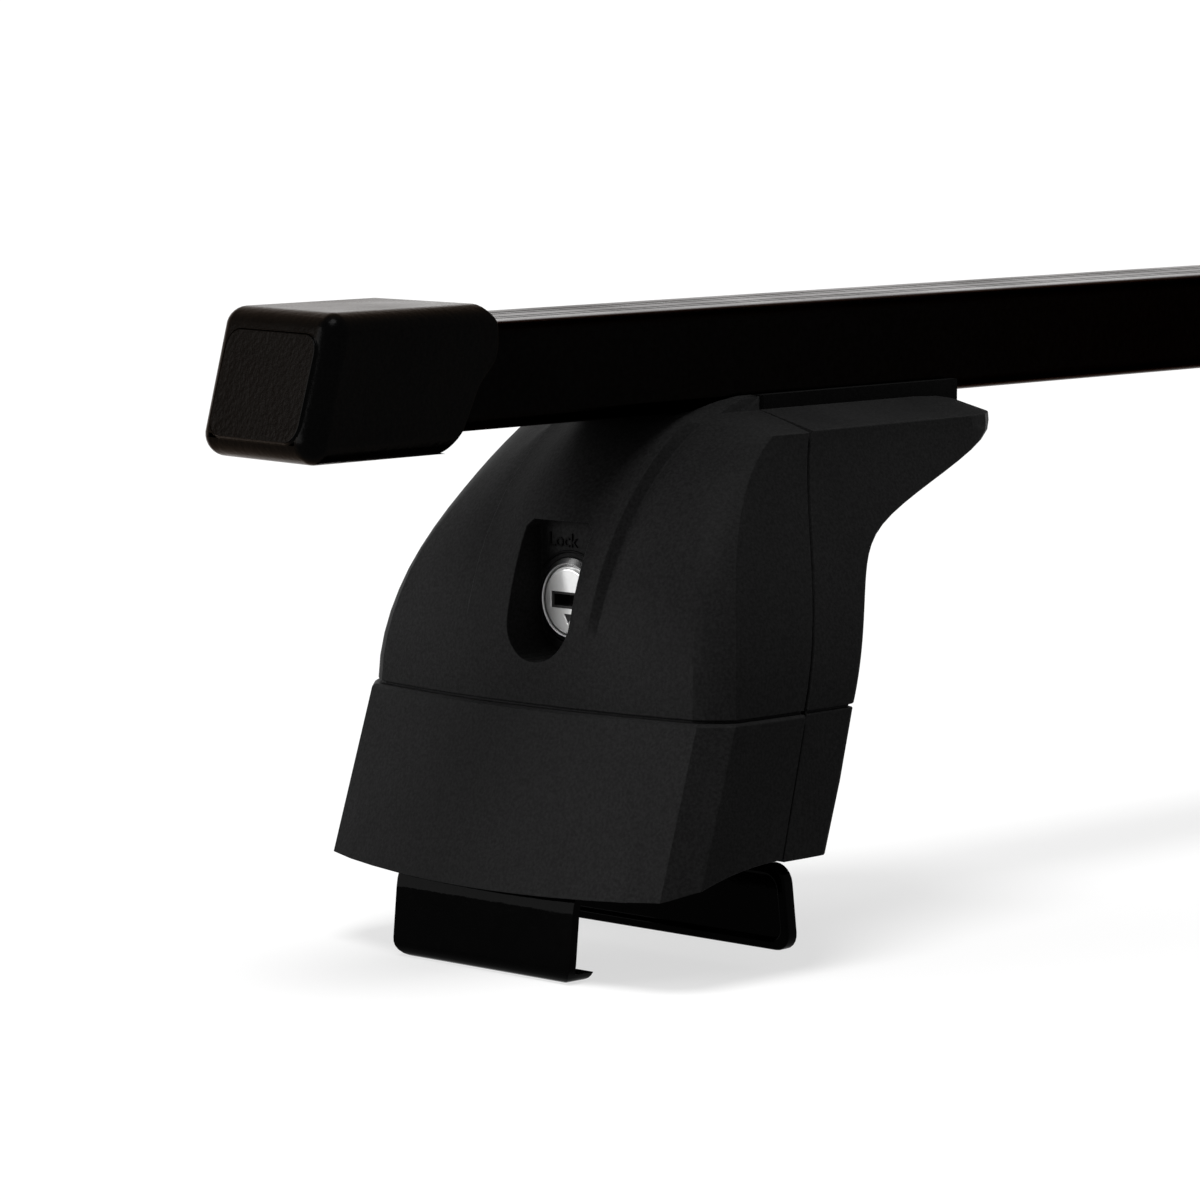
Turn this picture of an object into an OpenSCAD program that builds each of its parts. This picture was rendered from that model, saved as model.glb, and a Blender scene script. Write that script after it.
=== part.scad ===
// Roof rack crossbar on two clamp feet.
// X runs along the bar, Y across it and Z up; the jaws stand on Z = 0.
// Each foot is drawn in its own frame: x inboard from the foot datum, z up from the bar's underside.

/* [Crossbar] */
// Length of the steel tube
bar_length = 1200; // [1000:10:1400]
// Width of the coated bar
bar_width = 32; // [30:0.5:34]
// Height of the coated bar
bar_height = 22; // [20:0.5:26]
// Corner radius of the coated bar
bar_corner = 3.5; // [2:0.5:5]
// Thickness of the plastic sheath
sheath_wall = 1; // [0.8:0.1:1.4]
// Wall of the steel tube
tube_wall = 1.5; // [1.2:0.1:2]
// Width of each grip groove along the top
groove_width = 1.1; // [0.6:0.1:1.6]
// Depth of each grip groove
groove_depth = 0.45; // [0.2:0.05:0.6]
// Spacing of the grip grooves across the top
groove_pitch = 3.4; // [2.4:0.2:4]

/* [End caps] */
// Height of the cap's moulded shell
cap_height = 30; // [28:0.5:34]
// Width of the cap's moulded shell
cap_width = 37.2; // [36:0.4:42]
// How far the cap covers the bar along its top
cap_top_cover = 39; // [34:1:46]
// How far the cap covers the bar along its bottom
cap_bottom_cover = 26; // [22:1:32]
// How far the end face stands beyond the tube at the bottom
cap_nose = 14.4; // [12:0.2:16]
// How far the end face leans back over its height
cap_rake = 8.4; // [5:0.2:10]
// How far the end face sweeps back over its width
cap_sweep = 4; // [0:0.5:5]
// Edge radius round the end face
cap_edge = 4.5; // [3:0.5:6]
// Height of the raised panel on the end face
panel_rise = 0.6; // [0.3:0.1:1]
// How much lower the bar's top lies where the cap covers it
cap_seat = 0.2; // [0.1:0.05:0.3]

/* [Feet] */
// Distance from the bar's end in to each foot's datum
foot_inset = 48; // [44:2:100]
// Depth of the seam line below the bar
seam_drop = 60; // [57:1:64]
// Depth of the skirt's front corners below the bar
skirt_drop = 95.6; // [93:1:99]
// Depth of the leg body's lower edge below the bar
leg_drop = 90; // [88:1:92]
// Half width of the cover's front at the seam
seam_half = 46.8; // [45:0.2:50]
// Half width of the cover's front at its crown
crown_half = 18; // [16:0.5:20]
// Half width of the foot's flanks under the bar
shoulder_half = 35.7; // [33:0.3:38]
// Width of the corner band between front and flank
band_width = 5.4; // [3.5:0.3:6]
// Depth of the corner band along the bar
band_depth = 6; // [5:0.5:9]
// Front corner of the cover at the seam, from the datum
seam_front = 20; // [18:0.5:22]
// How far the front bows out between its corners
front_bow = 4.4; // [3:0.4:6]
// How far the skirt bows out at its lower edge
skirt_bow = 6.4; // [4:0.4:8]
// How far the skirt leans out below the seam
skirt_lean = 11.6; // [9:0.2:13]
// How far the skirt stands proud of the cover
skirt_step = 0.8; // [0.5:0.1:1.4]
// Half width of the raised middle of the cover
hump_half = 17.6; // [16:0.2:19]
// Height of the step beside the raised middle
hump_step = 1.6; // [1:0.2:3]
// Wall of the moulded cover
cover_wall = 2.5; // [2:0.1:3]
// Wall of the moulded leg body
leg_wall = 2.8; // [2.2:0.1:3.2]
// Open line between cover and leg body
shell_gap = 1; // [0.6:0.1:1.4]
// Inboard end of the arm, from the datum
arm_reach = 139; // [132:1:144]
// How much each side of the arm closes in over its length
arm_taper = 1.5; // [0:0.5:4]
// Depth of the arm's underside at its inboard end
arm_tip_drop = 5.7; // [5:0.1:7]

/* [Bar clamp] */
// Thickness of the rubber pad under the bar
pad_thickness = 2; // [1.6:0.2:2.6]
// Height of the pad's side lips above the bar's underside
pad_lip = 3; // [2:0.5:5]
// Diameter of the bar bolts
bar_bolt_d = 8; // [6:0.5:8]
// First bar bolt, from the datum
bar_bolt_first = 80; // [78:1:84]
// Spacing of the two bar bolts
bar_bolt_pitch = 23; // [18:1:25]
// Thickness of the nut plate in the tube
nut_plate_thickness = 5.5; // [4:0.5:7]
// How far a foot slides outboard
slide_out = 15; // [5:1:16]
// How far a foot slides inboard
slide_in = 80; // [20:5:120]

/* [Steel frame] */
// Thickness of the pressed frame
frame_steel = 3; // [2.5:0.5:3]
// Outboard face of the upright web, from the datum
web_face = 47; // [46:0.5:48]
// Half width of the upright web
web_half = 31.5; // [30:0.5:33]

/* [Jaws] */
// Thickness of the jaw plates
jaw_steel = 2; // [1.6:0.2:2.4]
// Depth of the outer hook below the bar
hook_drop = 114.8; // [113:0.4:118]
// Half width of the outer hook
hook_half = 26; // [22:0.5:28]
// Length of the hook's turned lip
hook_lip = 7; // [5:0.5:9]
// Depth of the inner jaw below the bar
jaw_drop = 110.4; // [107:0.4:112]
// Half width of the inner jaw
jaw_half = 49; // [44:1:52]
// Height of the rim round the inner jaw
jaw_rim = 1.2; // [0.8:0.1:1.6]
// Diameter of the clamp bolt
clamp_bolt_d = 8; // [6:0.5:8]
// Depth of the clamp bolt below the seam line
clamp_below_seam = 7; // [5:0.5:8]

/* [Lock] */
// Diameter of the lock sleeve
lock_d = 18; // [15:0.5:18]
// Diameter of the turning plug
plug_d = 14.4; // [12:0.4:14.4]
// Depth of the lock axis below the bar
lock_drop = 38.5; // [38:0.5:41]
// How far the lock stands beside the middle of the cover
lock_aside = 4; // [0:0.5:5]
// Half width of the recess round the lock
recess_half = 8.6; // [7.6:0.2:9.4]
// Depth of the recess's upper edge below the bar
recess_top = 21.5; // [20:0.5:24]
// Depth of the centre of the recess's round end
recess_low = 42; // [41:0.5:44]

/* [Hidden] */
$fn = 48;

// Clearances between pieces
run_clear = 0.3;
bolt_clear = 0.4;
slip_clear = 0.1;
eps = 0.01;
// Span of a cutting or crossing block that only has to pass right through
through = 160;

// Bar and tube
bar_z = hook_drop;
foot_station = bar_length / 2 - foot_inset;
tube_corner = bar_corner - sheath_wall;
tube_width = bar_width - 2 * sheath_wall;
tube_height = bar_height - 2 * sheath_wall;
bore_width = tube_width - 2 * tube_wall;
bore_height = tube_height - 2 * tube_wall;
bore_floor = sheath_wall + tube_wall;
bar_bolt_r = bar_bolt_d / 2;
bar_bolt_last = bar_bolt_first + bar_bolt_pitch;
bar_bolts_x = [bar_bolt_first, bar_bolt_last];
slot_r = bar_bolt_r + bolt_clear;
slot_from = bar_bolt_first - slide_out;
slot_to = bar_bolt_last + slide_in;

// Heights in the foot's frame, measured from the bar's underside
seam_z = -seam_drop;
skirt_z = -skirt_drop;
leg_z = -leg_drop;
clamp_drop = seam_drop + clamp_below_seam;
deck_top = 0;
chamfer_drop = 3.4;
rail_half = bar_width / 2 + run_clear + pad_lip_width();
corner_crown = -3;
hump_crown = pad_lip + 0.2;
pad_floor = -run_clear - pad_thickness;
deck_thickness = 3.6;
frame_top = pad_floor - deck_thickness;
gap_lead = 0.24;
gap_bend = 0.00108;
gap_foot = 38.6;

function pad_lip_width() = 2.2;
function clamp01(v) = max(0, min(1, v));
function unit(v) = v / norm(v);
function mix(a, b, s) = a + (b - a) * s;
function backwards(list) = [for (i = [len(list) - 1:-1:0]) list[i]];

// One rounded corner of an outline, as points on its arc
function fillet(before, at, after, r, steps) = let(
    u = unit(before - at),
    v = unit(after - at),
    half = acos(u * v) / 2,
    from = at + u * r / tan(half),
    to = at + v * r / tan(half),
    centre = at + unit(u + v) * r / sin(half),
    a0 = atan2(from[1] - centre[1], from[0] - centre[0]),
    a1 = atan2(to[1] - centre[1], to[0] - centre[0]),
    turn = a1 - a0 > 180 ? a1 - a0 - 360 : a1 - a0 < -180 ? a1 - a0 + 360 : a1 - a0
) [for (i = [0:steps]) centre + r * [cos(a0 + turn * i / steps), sin(a0 + turn * i / steps)]];

// Closed outline from corners [x, y, radius]
function round_loop(pts, steps = 6) = let(n = len(pts)) [for (i = [0:n - 1]) let(
    p = pts[i],
    a = pts[(i + n - 1) % n],
    b = pts[(i + 1) % n])
    each p[2] > 0 ? fillet([a[0], a[1]], [p[0], p[1]], [b[0], b[1]], p[2], steps) : [[p[0], p[1]]]];

// Open line from corners [x, y, radius]
function round_line(pts, steps = 5) = let(n = len(pts)) [for (i = [0:n - 1]) let(p = pts[i])
    each i > 0 && i < n - 1 && p[2] > 0
        ? fillet([pts[i - 1][0], pts[i - 1][1]], [p[0], p[1]], [pts[i + 1][0], pts[i + 1][1]], p[2], steps)
        : [[p[0], p[1]]]];

// Direction across a line of points at point i
function across(line, i) = let(
    n = len(line),
    d0 = unit(line[min(i + 1, n - 1)] - line[min(i, n - 2)]),
    d1 = unit(line[max(i, 1)] - line[max(i - 1, 0)]),
    m = unit(d0 + d1)
) [-m[1], m[0]] / (m * d0);

// Outline of a bent sheet of thickness t whose middle follows the line
function ribbon(line, t) = concat(
    [for (i = [0:len(line) - 1]) line[i] + across(line, i) * t / 2],
    backwards([for (i = [0:len(line) - 1]) line[i] - across(line, i) * t / 2]));

// Solid through equal rings of points, listed clockwise seen from above and from low to high
module loft(rings) {
    n = len(rings[0]);
    m = len(rings);
    polyhedron(
        points = [for (ring = rings) each ring],
        faces = concat(
            [for (k = [0:m - 2]) for (i = [0:n - 1]) let(j = (i + 1) % n, low = k * n, high = low + n)
                each [[low + i, low + j, high + j], [low + i, high + j, high + i]]],
            [[for (i = [0:n - 1]) n - 1 - i]],
            [[for (i = [0:n - 1]) (m - 1) * n + i]]),
        convexity = 8);
}

// Outline in x and z, carried across the bar over the given half width
module across_bar(half) {
    rotate([90, 0, 0]) linear_extrude(height = 2 * half, center = true) children();
}

// Outline in y and z, carried along the bar between two places
module along_bar(from, to) {
    translate([from, 0, 0]) rotate([90, 0, 90]) linear_extrude(height = to - from) children();
}

module rounded_rect(w, h, r) {
    polygon(round_loop([[-w / 2, -h / 2, r], [w / 2, -h / 2, r], [w / 2, h / 2, r], [-w / 2, h / 2, r]]));
}

module rod_x(from, to, r) {
    translate([from, 0, 0]) rotate([0, 90, 0]) cylinder(h = to - from, r = r);
}

// Form of the bar above its underside, grown by a clearance
module bar_form(from, to, clear) {
    translate([0, 0, bar_height / 2]) along_bar(from, to)
        rounded_rect(bar_width + 2 * clear, bar_height + 2 * clear, bar_corner + clear);
}

// Round-ended slot along the bar for the bar bolts
module bolt_slot(from, to, r, low, high) {
    for (x = [from, to]) translate([x, 0, low]) cylinder(h = high - low, r = r);
    translate([from, -r, low]) cube([to - from, 2 * r, high - low]);
}

// Places a child of the bar's left end, then of its right end by a half turn
module at_end(side, station) {
    rotate([0, 0, side < 0 ? 0 : 180]) translate([-station, 0, bar_z]) children();
}

module both_slots(low, high) {
    for (side = [-1, 1]) at_end(side, foot_station) bolt_slot(slot_from, slot_to, slot_r, low, high);
}

module crossbar_tube() {
    color("dimgray") difference() {
        translate([0, 0, bar_z + bar_height / 2]) along_bar(-bar_length / 2, bar_length / 2)
            difference() {
                rounded_rect(tube_width, tube_height, tube_corner);
                rounded_rect(bore_width, bore_height, tube_corner - tube_wall);
            }
        both_slots(-1, bar_height / 2);
    }
}

module crossbar_sheath() {
    groove_rows = [-2, -1, 1, 2];
    color("black") difference() {
        translate([0, 0, bar_z + bar_height / 2]) along_bar(-bar_length / 2, bar_length / 2)
            difference() {
                rounded_rect(bar_width, bar_height, bar_corner);
                rounded_rect(tube_width, tube_height, tube_corner);
                for (row = groove_rows)
                    translate([row * groove_pitch - groove_width / 2, bar_height / 2 - groove_depth])
                        square([groove_width, 2 * groove_depth]);
            }
        both_slots(-1, bar_height / 2);
        for (side = [-1, 1]) at_end(side, bar_length / 2)
            translate([-1, -bar_width, bar_height - cap_seat])
                cube([cap_top_cover + 1.9, 2 * bar_width, 1]);
    }
}

// End cap, drawn from the tube's end: x runs inboard over the bar
cap_low = bar_height / 2 - cap_height / 2;
cap_high = bar_height / 2 + cap_height / 2;
function cap_end(y, z) = -cap_nose + cap_rake * (z - cap_low) / cap_height
    + cap_sweep * (y + cap_width / 2) / cap_width;

module cap_block() {
    hull() {
        for (side = [-1, 1]) for (z = [cap_low + cap_edge, cap_high - cap_edge])
            let(y = side * (cap_width / 2 - cap_edge))
                translate([cap_end(y, z) + cap_edge, y, z]) sphere(r = cap_edge, $fn = 32);
        translate([0, 0, bar_height / 2]) along_bar(cap_top_cover, cap_top_cover + 1)
            rounded_rect(cap_width, cap_height, cap_edge);
    }
}

// Side view of the cap: the inboard rim runs in a long S from top to bottom
module cap_side() {
    polygon(round_loop([
        [-2 * cap_nose, cap_low - 1, 0],
        [cap_bottom_cover - 1, cap_low - 1, 0],
        [cap_bottom_cover - 1, cap_low, 3],
        [cap_bottom_cover + 3.5, cap_low + 5, 8],
        [mix(cap_bottom_cover, cap_top_cover, 0.62), bar_height / 2 - 1, 12],
        [cap_top_cover + 0.4, bar_height / 2 + 4, 7],
        [cap_top_cover + 0.4, cap_high - 3.5, 4],
        [cap_top_cover - 2.5, cap_high, 0],
        [cap_top_cover - 2.5, cap_high + 1, 0],
        [-2 * cap_nose, cap_high + 1, 0]]));
}

module end_cap() {
    panel_w = cap_width - 2.6 * cap_edge + 4;
    panel_h = cap_height - 2.6 * cap_edge + 4;
    spigot_length = 18;
    color("black") difference() {
        union() {
            intersection() {
                cap_block();
                across_bar(cap_width) cap_side();
            }
            intersection() {
                translate([cap_end(0, bar_height / 2), 0, bar_height / 2])
                    rotate([0, 0, -atan(cap_sweep / cap_width)])
                        rotate([0, atan(cap_rake / cap_height), 0])
                            along_bar(-panel_rise, 2)
                                rounded_rect(panel_w, panel_h, 4);
                translate([-2 * cap_nose, -cap_width / 2, cap_low])
                    cube([3 * cap_nose, cap_width, cap_height]);
            }
        }
        difference() {
            bar_form(-1, cap_top_cover + 5, slip_clear);
            translate([0, 0, bar_height / 2]) along_bar(-1 - eps, spigot_length)
                difference() {
                    rounded_rect(bore_width - 2 * slip_clear, bore_height - 2 * slip_clear, 1);
                    rounded_rect(bore_width - 4, bore_height - 4, 1);
                }
        }
    }
}

module left_end_cap() {
    at_end(-1, bar_length / 2) end_cap();
}

module right_end_cap() {
    at_end(1, bar_length / 2) end_cap();
}

// Place of the joint line between cover and leg body at height z
function gap_x(z) = let(rise = z - leg_z) gap_foot + gap_lead * rise + gap_bend * rise * rise;

// Quarter of a rounded arch: from x_foot at the seam to x_crown at its top
function arch_x(z, x_foot, x_crown, top, power) =
    x_crown - (x_crown - x_foot) * pow(1 - pow(clamp01((z - seam_z) / (top - seam_z)), power), 1 / power);

// Half width of the cover's front above the seam
function front_half(z) = mix(crown_half, seam_half,
    pow(sin(90 * clamp01((hump_crown - z) / (hump_crown - seam_z))), 0.95));

// Half width of the flank at the joint line, with the sloped shoulder under the bar
function flank_half(z) = let(
    low = min(z, -chamfer_drop),
    full = mix(shoulder_half, seam_half + band_width + 0.4,
        pow(sin(90 * clamp01((corner_crown - low) / (corner_crown - seam_z))), 1.35)))
    z <= -chamfer_drop ? full
    : z <= deck_top ? mix(full, rail_half + 1.6, (z + chamfer_drop) / chamfer_drop)
    : rail_half + 1.6 - 1.2 * z / hump_crown;

function skirt_grow(z) = (seam_z - z) / (skirt_drop - seam_drop);
function skirt_half(z) = seam_half + skirt_step + 0.4 * skirt_grow(z);
function skirt_front(z) = seam_front - skirt_step - skirt_lean * skirt_grow(z);

// Front of the cover at half width y: rounded middle, ridge, then a stepped-back run to the corner
function front_x(y, edge, half, mid, ridge, corner, step) = y <= edge
    ? mix(mid, ridge, y * y / (edge * edge))
    : let(s = (y - edge) / (half - edge)) mix(ridge, corner, pow(s, 1.36)) + step * (1 - s);

// Half a ring of the cover above the seam, from the middle to the joint line, moved in by t
function cover_half_ring(z, t, top, gap_at) = let(
    foot = seam_front - front_bow + t,
    mid = arch_x(z, foot, gap_x(top) - 4, top, 2.3),
    ridge = arch_x(z, foot + 0.6, gap_x(top) - 3.6, top, 1.9),
    flank = flank_half(z + t) - t,
    half = min(front_half(z) - t, mix(hump_half, flank, 0.8)),
    corner = max(ridge + 0.5, arch_x(z, seam_front + t, gap_x(top), top, 1.85)),
    step = hump_step * clamp01((z - seam_z - 6) / 40),
    edge = min(hump_half, half - 3),
    beside = edge + step_run,
    front = [for (y = [0, 0.3 * edge, 0.6 * edge, 0.85 * edge, edge, beside,
            mix(beside, half, 0.35), mix(beside, half, 0.7), half])
        [front_x(y, edge, half, mid, ridge, corner, step), y]],
    band = [for (s = [0.3, 0.65, 0.9, 1])
        [corner + band_depth * (s - 0.1 * sin(180 * s)),
            half + (flank - 0.4 - half) * (s + 0.04 * sin(180 * s))]],
    side = [[mix(corner + band_depth, gap_at, 0.5), flank - 0.12], [gap_at, flank]],
    all = concat(front, band, side),
    last = len(all) - 1
) [for (i = [0:last]) [min(all[i][0], gap_at - 0.25 * (last - i)), all[i][1], z]];

// Half a ring of the skirt, with the same number of points and a flat corner facet
function skirt_half_ring(z, t, gap_at) = let(
    half = skirt_half(z) - t,
    corner = skirt_front(z) + t,
    bow = mix(front_bow, skirt_bow, clamp01(skirt_grow(z))),
    flank = half + band_width,
    front = [for (s = [0, 0.12, 0.25, 0.35, 0.42, 0.46, 0.64, 0.82, 1])
        [corner - bow * (1 - s * s), half * s]],
    band = [for (s = [0.25, 0.5, 0.75, 1]) [corner + band_depth * s, half + band_width * s]],
    side = [[mix(corner + band_depth, gap_at, 0.5), flank + 0.28], [gap_at, flank + 0.4]])
    [for (p = concat(front, band, side)) [p[0], p[1], z]];

// Whole ring from its half, clockwise seen from above
function whole_ring(half) = concat(
    [for (p = backwards(half)) [p[0], -p[1], p[2]]],
    [for (i = [1:len(half) - 1]) half[i]]);

cover_levels = 20;
step_run = 1.8;
groove_height = 0.7;
groove_floor = 0.7;
skirt_bottom = skirt_z - 8;

module cover_outer() {
    arch = [for (i = [0:cover_levels])
        seam_z + groove_height + (hump_crown - seam_z - groove_height - 0.15) * sin(90 * i / cover_levels)];
    loft(concat(
        [for (z = [skirt_bottom, seam_z - 0.5])
            whole_ring(skirt_half_ring(z, 0, gap_x(z) - shell_gap / 2))],
        [whole_ring(skirt_half_ring(seam_z, 0.45, gap_x(seam_z) - shell_gap / 2))],
        [for (z = [seam_z + 0.05, seam_z + groove_height - 0.05])
            whole_ring(cover_half_ring(z, groove_floor, hump_crown, gap_x(z) - shell_gap / 2))],
        [for (z = arch) whole_ring(cover_half_ring(z, 0, hump_crown, gap_x(z) - shell_gap / 2))]));
}

module cover_inner() {
    top = -run_clear - cover_wall;
    inner_levels = 10;
    inset = cover_wall;
    arch = [for (i = [0:inner_levels]) seam_z + (top - seam_z - 0.2) * sin(90 * i / inner_levels)];
    loft(concat(
        [for (z = [skirt_bottom - 1, seam_z - 1.5])
            whole_ring(skirt_half_ring(z, inset, gap_x(z) + band_depth))],
        [for (z = arch) whole_ring(cover_half_ring(z, inset, top, gap_x(z) + band_depth))]));
}

// Curved lower edge of the skirt: it dips at the front and rises to the leg's lower edge
function skirt_edge(x) = let(s = (gap_foot - x) / (gap_foot - skirt_front(skirt_z)))
    leg_z + 0.5 - (skirt_drop - leg_drop + 0.5) * (s < 1 ? s * s : s);

module below_skirt() {
    across_bar(through) polygon(concat(
        [for (i = [0:14]) let(x = gap_foot + 2 - i * 3.5) [x, skirt_edge(min(x, gap_foot))]],
        [[gap_foot - 50, skirt_bottom - 20], [gap_foot + 20, skirt_bottom - 20],
            [gap_foot + 20, skirt_edge(gap_foot)]]));
}

// Outline of the recess round the lock, seen from the front
module recess_outline(grow) {
    half = recess_half + grow;
    translate([-lock_aside, 0]) polygon(concat(
        [[half - 1.5, -recess_top + grow], [half, -recess_top + grow - 1.5]],
        [for (i = [0:18]) [half * cos(-i * 10), -recess_low + half * sin(-i * 10)]],
        [[-half, -recess_top + grow - 1.5], [-half + 1.5, -recess_top + grow]]));
}

recess_floor = 27.5;
lock_back = 44;
lock_r = lock_d / 2;

module at_lock() {
    translate([0, -lock_aside, -lock_drop]) children();
}

module cover() {
    cup_wall = 2.2;
    boss_r = lock_r + 2.4;
    color("#2f2f31") difference() {
        union() {
            difference() {
                cover_outer();
                cover_inner();
            }
            intersection() {
                cover_outer();
                union() {
                    along_bar(0, recess_floor + cup_wall) recess_outline(cup_wall);
                    at_lock() rod_x(recess_floor, lock_back - 1, boss_r);
                }
            }
        }
        along_bar(-5, recess_floor) recess_outline(0);
        at_lock() rod_x(recess_floor - 1, lock_back + 1, lock_r + slip_clear);
        bar_form(0, through, run_clear);
        below_skirt();
    }
}

// Lower skirt and leg flank share one half width at the joint line
function leg_half(z) = z < seam_z ? skirt_half(z) + band_width + 0.4 : flank_half(z);

leg_toe = 52.9;
leg_lean = 0.325;
bend_x = 71.3;
bend_z = -24.8;
under_slope = (-arm_tip_drop - bend_z) / (arm_reach - bend_x);
bend_blend = 9.5;
tip_blend = 3;
tip_round = 18;

// Inboard limit of the leg body at height z, moved in by t: leaning leg, bend and sloping arm
function arm_x(z, t) = let(
    lean = leg_toe + leg_lean * (z - leg_z) - 1.05 * t,
    under = bend_x + (z - bend_z - 1.04 * t) / under_slope,
    bent = (lean + under) / 2 + norm([(lean - under) / 2, bend_blend]),
    end = arm_reach - t)
    (bent + end) / 2 - norm([(bent - end) / 2, tip_blend]);

// Half a ring of the leg body, from the joint line round to the inboard end
function leg_half_ring(z, t, out) = let(
    gap_at = gap_x(z) + out,
    x_end = arm_x(z, t),
    s = clamp01((x_end - gap_at) / (arm_reach - gap_at)),
    wide = leg_half(z) - t,
    wide_end = wide - arm_taper * s,
    r = min(mix(2, tip_round, pow(s, 6)), wide_end - 1),
    bulge = 0.12,
    arc = [for (a = [90:-22.5:0]) [x_end - r + r * cos(a), wide_end - r + r * sin(a), z]])
    concat([[gap_at, wide, z], [mix(gap_at, x_end - r, 0.5), mix(wide, wide_end, 0.5) + bulge, z]], arc);

// Whole ring of the leg body from its half, clockwise seen from above
function leg_ring(z, t, out) = let(half = leg_half_ring(z, t, out))
    concat(half, [for (p = backwards(half)) [p[0], -p[1], p[2]]]);

module leg_outer() {
    steps = 30;
    out = shell_gap / 2;
    shoulder = [for (i = [0:steps]) mix(seam_z + groove_height, -chamfer_drop, i / steps)];
    loft(concat(
        [for (z = [leg_z, mix(leg_z, seam_z, 0.5), seam_z]) leg_ring(z, 0, out)],
        [for (z = [seam_z + 0.05, seam_z + groove_height - 0.05]) leg_ring(z, groove_floor, out)],
        [for (z = shoulder) leg_ring(z, 0, out)],
        [leg_ring(deck_top, 0, out)]));
}

module leg_inner() {
    steps = 10;
    loft([for (i = [0:steps]) let(z = leg_z - 5 + (frame_top - leg_z + 5) * sin(90 * i / steps))
        leg_ring(z, leg_wall, -8)]);
}

// Screws that hold the leg body to the frame
screw_y = 24.3;
screw_z = leg_z + 8;
screw_r = 2;
boss_end = 55;

module leg_body() {
    pad_end = arm_reach - pad_inset;
    access_r = bar_bolt_r + 4.5;
    color("#2f2f31") difference() {
        union() {
            difference() {
                leg_outer();
                leg_inner();
            }
            intersection() {
                leg_outer();
                for (side = [-1, 1]) translate([0, side * screw_y, screw_z])
                    rod_x(web_face + frame_steel, boss_end + 5, screw_r + 2.4);
            }
        }
        for (side = [-1, 1]) translate([0, side * screw_y, screw_z])
            rod_x(web_face, boss_end, screw_r + slip_clear);
        translate([0, -pad_half - slip_clear, pad_floor])
            cube([pad_end + slip_clear, 2 * (pad_half + slip_clear), 10]);
        for (x = bar_bolts_x) {
            translate([x, 0, frame_top - 1]) cylinder(h = 20, r = bar_bolt_r + bolt_clear);
            translate([x, 0, leg_z]) cylinder(h = frame_top - leg_z, r = access_r);
        }
    }
}

// Rubber pad between the bar and the arm
pad_half = rail_half;
pad_inset = 3.5;
pad_from = gap_x(deck_top) + 2.5;
pad_to = arm_reach - pad_inset;

module bar_pad() {
    color("#1c1c1c") difference() {
        translate([pad_from, -pad_half, pad_floor])
            cube([pad_to - pad_from, 2 * pad_half, pad_lip - pad_floor]);
        bar_form(0, through, run_clear);
        for (x = bar_bolts_x) translate([x, 0, pad_floor - 1])
            cylinder(h = 10, r = bar_bolt_r + bolt_clear);
    }
}

nut_plate_z = bore_floor + run_clear;

module nut_plate() {
    overlap = 11;
    half = bore_width / 2 - 1.5;
    color("silver") difference() {
        translate([bar_bolt_first - overlap, -half, nut_plate_z])
            cube([bar_bolt_pitch + 2 * overlap, 2 * half, nut_plate_thickness]);
        for (x = bar_bolts_x) translate([x, 0, 0]) cylinder(h = 20, r = bar_bolt_r + slip_clear);
    }
}

washer_thickness = 1.6;
bolt_head_height = 5;
frame_under = frame_top - frame_steel;

module bar_bolts() {
    seat = frame_under - washer_thickness;
    tip = nut_plate_z + nut_plate_thickness + 1;
    color("silver") for (x = bar_bolts_x) translate([x, 0, 0]) difference() {
        union() {
            translate([0, 0, seat]) cylinder(h = tip - seat, r = bar_bolt_r);
            translate([0, 0, seat - bolt_head_height]) cylinder(h = bolt_head_height, r = bar_bolt_r + 2.5);
        }
        translate([0, 0, seat - bolt_head_height - 1]) cylinder(h = 4, r = bar_bolt_r - 0.6, $fn = 6);
    }
}

module bar_washers() {
    color("silver") for (x = bar_bolts_x) translate([x, 0, frame_under - washer_thickness]) difference() {
        cylinder(h = washer_thickness, r = bar_bolt_r + 4);
        translate([0, 0, -1]) cylinder(h = washer_thickness + 2, r = bar_bolt_r + slip_clear);
    }
}

// Clamp and lock places along the bar, from the datum
hook_face = 24;
nut_flange = 1.5;
nut_r = clamp_bolt_d / 2 + 1.6;
clamp_r = clamp_bolt_d / 2;
cam_half = 10;
cam_width = 8;
cam_thickness = 2.2;
tail_r = 3.2;
rivet_y = 13;
rivet_z = leg_z + 9;
rivet_r = 2.5;
cheek_from = 23;
jaw_line_x = web_face - jaw_steel / 2 - slip_clear;

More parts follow.
